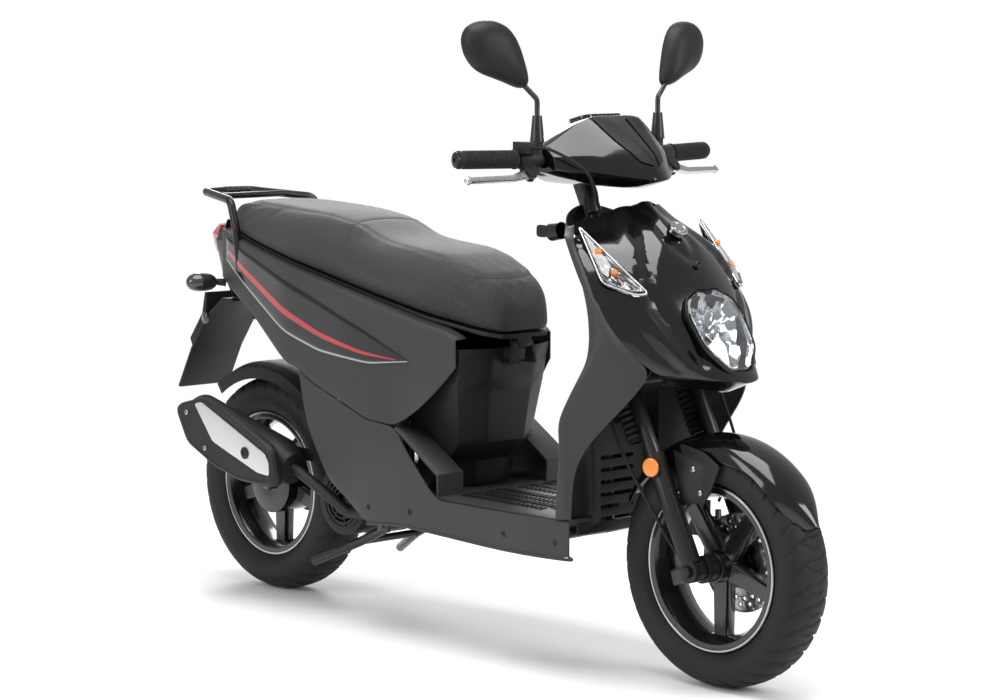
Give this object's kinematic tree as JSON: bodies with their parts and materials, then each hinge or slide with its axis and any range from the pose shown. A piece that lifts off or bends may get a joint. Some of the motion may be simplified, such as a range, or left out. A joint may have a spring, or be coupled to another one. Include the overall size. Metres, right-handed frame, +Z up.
{
  "type": "moped scooter",
  "caption": "Step-through moped scooter with a V-shaped front fascia, fork, long two-level seat, rear rack and swinging engine unit.",
  "frame": {"origin": "on the ground under the middle of the overall box", "axes": "+X forward, +Y to the rider's left, +Z up"},
  "size_m": [1.85, 0.685, 1.249],
  "materials": {
    "gloss_black": "gloss",
    "matte_grey": "matte",
    "seat_vinyl": "satin",
    "tyre": "matte",
    "rim": "gloss",
    "frame_paint": "satin",
    "engine_metal": "satin",
    "fork_metal": "satin",
    "steel": "satin",
    "disc_steel": "satin",
    "rubber": "matte",
    "clear_lens": "gloss",
    "reflector": "gloss",
    "red_lens": "gloss",
    "amber_lens": "gloss",
    "lever_metal": "satin",
    "exhaust_black": "matte",
    "spring_steel": "gloss",
    "button_plastic": "matte"
  },
  "bodies": {
    "chassis": {"frame": "frame_paint", "leg_shield": "matte_grey", "front_fascia": "gloss_black", "headlight_housing": "reflector", "headlight_lens": "clear_lens", "indicators": "amber_lens", "floorboard": "matte_grey", "side_skirts": "matte_grey", "seat_pedestal": "matte_grey", "side_covers": "matte_grey", "tail_cover": "matte_grey", "tail_light": "red_lens", "rear_rack": "frame_paint", "rear_mudguard": "matte_grey", "storage_bucket": "button_plastic", "fuel_tank": "frame_paint", "battery": "button_plastic", "inner_fender": "matte_grey"},
    "seat": {"seat_base": "button_plastic", "seat_cushion": "seat_vinyl"},
    "steering": {"steering_stem": "steel", "fork_bellows": "rubber", "handlebar": "frame_paint", "headset_cover": "gloss_black", "instrument_panel": "gloss_black", "left_grip": "rubber", "lever_perches": "frame_paint", "fork_cables": "rubber"},
    "throttle": {"throttle_grip": "rubber"},
    "right_lever": {"brake_lever_right": "lever_metal"},
    "left_lever": {"brake_lever_left": "lever_metal"},
    "right_mirror_stem": {"mirror_stem_right": "frame_paint"},
    "left_mirror_stem": {"mirror_stem_left": "frame_paint"},
    "right_mirror": {"mirror_head_right": "matte_grey"},
    "left_mirror": {"mirror_head_left": "matte_grey"},
    "fork_lower": {"fork_sliders": "fork_metal", "front_fender": "gloss_black", "brake_caliper": "engine_metal"},
    "front_wheel": {"front_rim": "rim", "front_tyre": "tyre", "brake_disc": "disc_steel"},
    "power_unit": {"engine_case": "engine_metal", "fan_shroud": "button_plastic", "exhaust": "exhaust_black", "muffler_shield": "exhaust_black", "air_filter_box": "button_plastic", "rear_fender": "matte_grey"},
    "fan": {"cooling_fan": "button_plastic"},
    "rear_wheel": {"rear_rim": "rim", "rear_tyre": "tyre"},
    "shock_upper": {"shock_body": "steel", "shock_spring": "spring_steel"},
    "shock_lower": {"shock_rod": "steel"},
    "stand": {"centre_stand": "frame_paint"},
    "kick": {"kick_lever": "lever_metal"},
    "key": {"ignition_key": "steel"},
    "starter": {"starter_button": "button_plastic"},
    "horn": {"horn_button": "button_plastic"},
    "indicator_knob": {"indicator_switch": "button_plastic"},
    "beam_knob": {"beam_switch": "button_plastic"}
  },
  "joints": [
    {"name": "steering", "type": "hinge", "parent": "chassis", "child": "steering", "pos_m": [0.66804, 0, 0.21566], "axis": [-0.4462, 0, 0.8949], "range_deg": [-40, 40]},
    {"name": "fork_slide", "type": "slide", "parent": "steering", "child": "fork_lower", "axis": [-0.4462, 0, 0.8949], "range_m": [0, 0.07], "stiffness_N_per_m": 8000, "springref_m": -0.06, "deforming": ["fork_bellows", "fork_cables"]},
    {"name": "front_wheel_spin", "type": "hinge", "parent": "fork_lower", "child": "front_wheel", "pos_m": [0.6956, 0, 0.2294], "axis": [0, 1, 0], "continuous": true},
    {"name": "engine_swing", "type": "hinge", "parent": "chassis", "child": "power_unit", "pos_m": [-0.2644, 0, 0.3464], "axis": [0, 1, 0], "range_deg": [0, 8], "stiffness_Nm_per_rad": 1500, "springref_deg": -11.46},
    {"name": "rear_wheel_spin", "type": "hinge", "parent": "power_unit", "child": "rear_wheel", "pos_m": [-0.6294, 0, 0.2364], "axis": [0, 1, 0], "continuous": true},
    {"name": "fan_spin", "type": "hinge", "parent": "power_unit", "child": "fan", "pos_m": [-0.3174, -0.05, 0.2404], "axis": [0, 1, 0], "continuous": true},
    {"name": "shock_turn", "type": "hinge", "parent": "chassis", "child": "shock_upper", "pos_m": [-0.5674, 0.095, 0.6084], "axis": [0, 1, 0], "range_deg": [-20, 20]},
    {"name": "shock_slide", "type": "slide", "parent": "shock_upper", "child": "shock_lower", "axis": [0.2912, 0, 0.9567], "range_m": [-0.002, 0.09], "deforming": ["shock_spring"]},
    {"name": "throttle_twist", "type": "hinge", "parent": "steering", "child": "throttle", "pos_m": [0.31785, -0.335, 0.9875], "axis": [-0.1956, -0.9806, 0.0121], "range_deg": [0, 75], "stiffness_Nm_per_rad": 0.15},
    {"name": "right_brake", "type": "hinge", "parent": "steering", "child": "right_lever", "pos_m": [0.36932, -0.19403, 0.95793], "axis": [-0.7581, 0.1434, -0.6361], "range_deg": [0, 9.5], "stiffness_Nm_per_rad": 2, "springref_deg": -5.73},
    {"name": "left_brake", "type": "hinge", "parent": "steering", "child": "left_lever", "pos_m": [0.36932, 0.19403, 0.95793], "axis": [0.7581, 0.1434, 0.6361], "range_deg": [0, 9.5], "stiffness_Nm_per_rad": 2, "springref_deg": -5.73},
    {"name": "right_mirror_swivel", "type": "hinge", "parent": "steering", "child": "right_mirror_stem", "pos_m": [0.35474, -0.164, 1.016], "axis": [0, 0, 1], "range_deg": [-30, 30]},
    {"name": "right_mirror_tilt", "type": "hinge", "parent": "right_mirror_stem", "child": "right_mirror", "pos_m": [0.34698, -0.19859, 1.13066], "axis": [-0.1618, -0.7206, 0.6742], "range_deg": [-15, 15]},
    {"name": "left_mirror_swivel", "type": "hinge", "parent": "steering", "child": "left_mirror_stem", "pos_m": [0.35474, 0.164, 1.016], "axis": [0, 0, 1], "range_deg": [-30, 30]},
    {"name": "left_mirror_tilt", "type": "hinge", "parent": "left_mirror_stem", "child": "left_mirror", "pos_m": [0.34698, 0.19859, 1.13066], "axis": [-0.1618, 0.7206, 0.6742], "range_deg": [-15, 15]},
    {"name": "seat_open", "type": "hinge", "parent": "chassis", "child": "seat", "pos_m": [0.1396, 0, 0.606], "axis": [0, 1, 0], "range_deg": [0, 60]},
    {"name": "stand_down", "type": "hinge", "parent": "chassis", "child": "stand", "pos_m": [-0.1674, 0, 0.209], "axis": [0, -1, 0], "range_deg": [0, 76], "stiffness_Nm_per_rad": 6, "springref_deg": -57.3},
    {"name": "kick_start", "type": "hinge", "parent": "power_unit", "child": "kick", "pos_m": [-0.4994, 0.155, 0.2444], "axis": [0, 1, 0], "range_deg": [0, 60], "stiffness_Nm_per_rad": 1, "springref_deg": -34.38},
    {"name": "key_turn", "type": "hinge", "parent": "chassis", "child": "key", "pos_m": [0.2776, -0.048, 0.838], "axis": [1, 0, 0], "range_deg": [0, 90]},
    {"name": "starter_press", "type": "slide", "parent": "steering", "child": "starter", "axis": [1, 0, 0], "range_m": [0, 0.003], "stiffness_N_per_m": 300, "springref_m": -0.001},
    {"name": "horn_press", "type": "slide", "parent": "steering", "child": "horn", "axis": [1, 0, 0], "range_m": [0, 0.003], "stiffness_N_per_m": 300, "springref_m": -0.001},
    {"name": "beam_slide", "type": "slide", "parent": "steering", "child": "beam_knob", "axis": [1, 0, 0], "range_m": [0, 0.003]},
    {"name": "indicator_slide", "type": "slide", "parent": "steering", "child": "indicator_knob", "axis": [1, 0, 0], "range_m": [0, 0.003]}
  ],
  "couplings": [
    {"joint": "shock_turn", "follows": "engine_swing", "ratio": 0.42328},
    {"joint": "shock_slide", "follows": "engine_swing", "m_per_rad": 0.3708}
  ]
}
